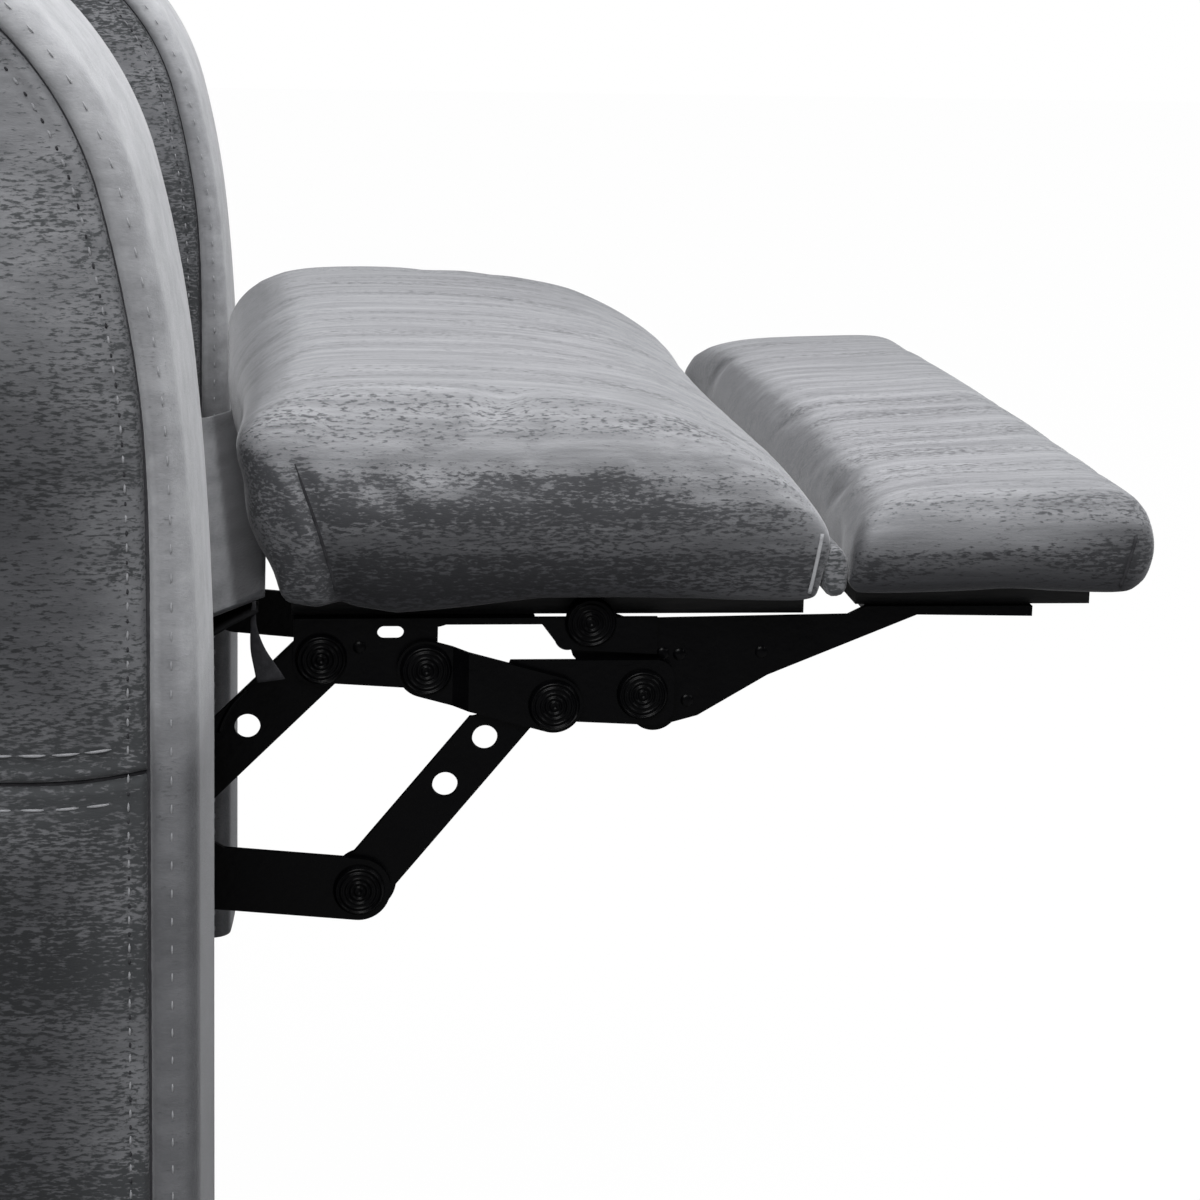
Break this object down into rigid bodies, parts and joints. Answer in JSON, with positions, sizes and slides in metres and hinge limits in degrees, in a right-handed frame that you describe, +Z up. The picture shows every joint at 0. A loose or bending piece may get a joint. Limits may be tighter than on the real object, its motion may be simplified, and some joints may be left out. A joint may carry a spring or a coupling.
{
  "type": "reclining chair",
  "caption": "Upholstered recliner with padded arms, a fold-out two-part footrest on scissor links and a tilting back worked by a side lever.",
  "frame": {"origin": "middle of the chair in plan, on the floor", "axes": "+X forward, where the sitter's feet point; +Y to the sitter's left; +Z up"},
  "size_m": [1.3133, 0.926, 1.0219],
  "materials": {
    "grey_velvet": "brushed velvet",
    "dark_lining": "woven",
    "black_steel": "satin black",
    "spring_wire": "plain wire",
    "zinc_screws": "zinc plated",
    "frame_wood": "sawn",
    "board_wood": "plywood",
    "black_plastic": "moulded"
  },
  "bodies": {
    "chair": {"back_hinge_pins": "black_steel", "base_cross_rails": "frame_wood", "base_side_rails": "frame_wood", "floor_glides": "black_plastic", "left_arm_frame": "frame_wood", "left_arm_front_band": "grey_velvet", "left_arm_inner_board": "board_wood", "left_arm_inner_panel": "grey_velvet", "left_arm_outer_board": "board_wood", "left_arm_outer_panel": "grey_velvet", "left_side_plate": "black_steel", "plate_bolts": "black_steel", "return_springs": "spring_wire", "right_arm_frame": "frame_wood", "right_arm_front_band": "grey_velvet", "right_arm_inner_board": "board_wood", "right_arm_inner_panel": "grey_velvet", "right_arm_outer_board": "board_wood", "right_arm_outer_panel": "grey_velvet", "right_side_plate": "black_steel", "seat_cushion": "grey_velvet", "seat_front_rail": "frame_wood", "seat_rear_rail": "frame_wood", "seat_side_rails": "frame_wood", "seat_springs": "spring_wire"},
    "rear_link": {"right_rear_link": "black_steel", "left_rear_link": "black_steel", "rear_link_rivets": "black_steel"},
    "front_link": {"right_front_link": "black_steel", "left_front_link": "black_steel"},
    "footrest": {"right_footrest_bracket": "black_steel", "left_footrest_bracket": "black_steel", "footrest_board": "board_wood", "footrest_pad": "grey_velvet", "bracket_rivets": "black_steel", "footrest_board_screws": "zinc_screws"},
    "flip": {"right_flip_bracket": "black_steel", "left_flip_bracket": "black_steel", "flip_board": "board_wood", "flip_pad": "grey_velvet", "flip_board_screws": "zinc_screws"},
    "lower_link": {"right_lower_link": "black_steel", "left_lower_link": "black_steel", "lower_link_rivets": "black_steel"},
    "short_link": {"right_short_link": "black_steel", "left_short_link": "black_steel", "short_link_rivets": "black_steel"},
    "drive": {"drive_tube": "black_steel", "side_lever": "black_steel", "lever_bolt": "black_steel"},
    "drive_link": {"drive_links": "black_steel"},
    "back": {"back_posts": "frame_wood", "back_cross_rails": "frame_wood", "back_springs": "spring_wire", "lumbar_cushion": "grey_velvet", "middle_back_cushion": "grey_velvet", "head_cushion": "grey_velvet", "back_rear_cover": "grey_velvet", "back_brackets": "black_steel", "back_side_panels": "grey_velvet"}
  },
  "joints": [
    {"name": "footrest_fold", "type": "hinge", "parent": "chair", "child": "rear_link", "pos_m": [0.15889, 0, 0.32493], "axis": [0, 1, 0], "range_deg": [0, 119.2]},
    {"name": "front_link_turn", "type": "hinge", "parent": "rear_link", "child": "front_link", "pos_m": [0.20586, 0, 0.29925], "axis": [0, 1, 0], "range_deg": [-116.8, 0]},
    {"name": "footrest_turn", "type": "hinge", "parent": "front_link", "child": "footrest", "pos_m": [0.2853, 0, 0.3775], "axis": [0, 1, 0], "range_deg": [0, 84.8]},
    {"name": "flip_turn", "type": "hinge", "parent": "footrest", "child": "flip", "pos_m": [0.4069, 0, 0.3941], "axis": [0, 1, 0], "range_deg": [0, 81.4]},
    {"name": "lower_link_turn", "type": "hinge", "parent": "rear_link", "child": "lower_link", "pos_m": [0.303, 0, 0.2712], "axis": [0, 1, 0], "range_deg": [-104, 0]},
    {"name": "short_link_turn", "type": "hinge", "parent": "footrest", "child": "short_link", "pos_m": [0.3324, 0, 0.3731], "axis": [0, 1, 0], "range_deg": [0, 37.6]},
    {"name": "lever_turn", "type": "hinge", "parent": "chair", "child": "drive", "pos_m": [-0.03674, 0, 0.28335], "axis": [0, 1, 0], "range_deg": [0, 119.4]},
    {"name": "drive_link_turn", "type": "hinge", "parent": "drive", "child": "drive_link", "pos_m": [-0.07432, 0, 0.29703], "axis": [0, 1, 0], "range_deg": [-119.4, 0]},
    {"name": "back_recline", "type": "hinge", "parent": "chair", "child": "back", "pos_m": [-0.3665, 0, 0.372], "axis": [0, -1, 0], "range_deg": [0, 30]}
  ],
  "couplings": [
    {"joint": "front_link_turn", "follows": "footrest_fold", "ratio": -0.97801},
    {"joint": "footrest_turn", "follows": "footrest_fold", "ratio": 0.70819},
    {"joint": "flip_turn", "follows": "footrest_fold", "ratio": 0.68035},
    {"joint": "lower_link_turn", "follows": "footrest_fold", "ratio": -0.8695},
    {"joint": "short_link_turn", "follows": "footrest_fold", "ratio": 0.31303},
    {"joint": "lever_turn", "follows": "footrest_fold", "ratio": 1},
    {"joint": "drive_link_turn", "follows": "footrest_fold", "ratio": -1}
  ]
}
